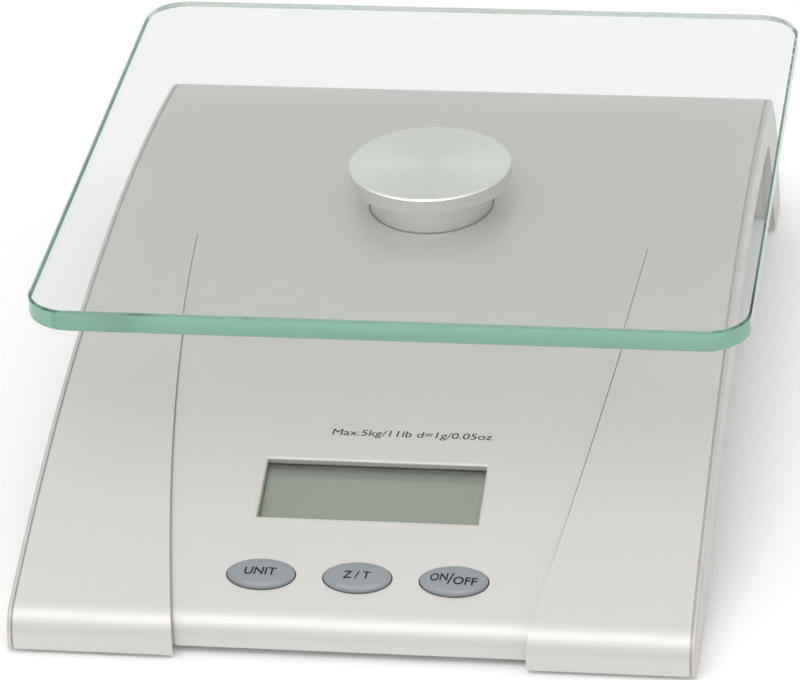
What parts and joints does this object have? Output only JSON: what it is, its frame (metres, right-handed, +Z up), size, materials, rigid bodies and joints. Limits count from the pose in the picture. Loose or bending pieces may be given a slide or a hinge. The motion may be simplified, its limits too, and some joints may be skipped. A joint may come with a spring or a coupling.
{
  "type": "digital kitchen scale",
  "caption": "Low kitchen scale: square glass plate on a central metal post over a long arched silver body with display and oval keys at its sloping front.",
  "frame": {"origin": "middle of the bounding box, on the plane the feet stand on", "axes": "+X to the user's right, +Y to the rear, +Z up"},
  "size_m": [0.16, 0.221, 0.0497],
  "materials": {
    "clear_glass": "polished float glass, green edge",
    "spun_aluminium": "turned, satin",
    "zinc_steel": "bright zinc plate",
    "bar_aluminium": "milled",
    "gauge_film": "amber foil",
    "white_silicone": "soft white sealant",
    "lead_sleeve": "grey sleeve",
    "silver_paint": "fine silver paint on ABS",
    "silver_trim": "fine silver paint on ABS",
    "grey_abs": "fine texture",
    "battery_wrap": "printed-free wrap",
    "nickel_strip": "nickel plate",
    "wire_sleeve": "smooth",
    "board_green": "solder mask",
    "black_epoxy": "matt",
    "black_nylon": "satin",
    "white_nylon": "satin",
    "clear_acrylic": "polished acrylic",
    "lcd_glass": "grey-green reflective display",
    "zebra_rubber": "striped conductive rubber",
    "key_plastic": "pale blue-grey, glossy",
    "foot_rubber": "matt"
  },
  "bodies": {
    "housing": {"load_cell": "bar_aluminium", "strain_gauges": "gauge_film", "gauge_potting": "white_silicone", "cell_mount_plate": "zinc_steel", "cell_screws": "zinc_steel", "overload_stop": "zinc_steel", "load_cell_lead": "lead_sleeve", "top_cover": "silver_paint", "side_panel_left": "silver_trim", "side_panel_right": "silver_trim", "base_tray": "grey_abs", "housing_screws": "zinc_steel", "lcd_window": "clear_acrylic", "lcd_panel": "lcd_glass", "lcd_holder": "white_nylon", "zebra_strips": "zebra_rubber", "main_pcb": "board_green", "pcb_screws": "zinc_steel", "chip_cover": "black_epoxy", "pcb_components": "black_epoxy", "switch_housings": "black_nylon", "batteries": "battery_wrap", "battery_spring_contact": "nickel_strip", "battery_plate_contact": "nickel_strip", "battery_link_contact": "nickel_strip", "battery_leads": "wire_sleeve", "foot_front_left": "foot_rubber", "foot_front_right": "foot_rubber", "foot_rear_left": "foot_rubber", "foot_rear_right": "foot_rubber"},
    "platform": {"glass_platform": "clear_glass", "platform_post": "spun_aluminium", "post_spacer": "zinc_steel", "post_screws": "zinc_steel"},
    "key_unit": {"button_unit": "key_plastic", "switch_plunger_unit": "white_nylon"},
    "key_tare": {"button_tare": "key_plastic", "switch_plunger_tare": "white_nylon"},
    "key_power": {"button_power": "key_plastic", "switch_plunger_power": "white_nylon"},
    "door": {"battery_door": "grey_abs"}
  },
  "joints": [
    {"name": "platform_press", "type": "slide", "parent": "housing", "child": "platform", "axis": [0, 0, -1], "range_m": [0, 0.0004], "stiffness_N_per_m": 20000, "springref_m": -0.00018, "deforming": ["load_cell"]},
    {"name": "unit_press", "type": "slide", "parent": "housing", "child": "key_unit", "axis": [0, 0.2974, -0.9548], "range_m": [0, 0.00035], "stiffness_N_per_m": 1500},
    {"name": "tare_press", "type": "slide", "parent": "housing", "child": "key_tare", "axis": [0, 0.2974, -0.9548], "range_m": [0, 0.00035], "stiffness_N_per_m": 1500},
    {"name": "power_press", "type": "slide", "parent": "housing", "child": "key_power", "axis": [0, 0.2974, -0.9548], "range_m": [0, 0.00035], "stiffness_N_per_m": 1500},
    {"name": "door_slide", "type": "slide", "parent": "housing", "child": "door", "axis": [1, 0, 0], "range_m": [0, 0.056]}
  ]
}
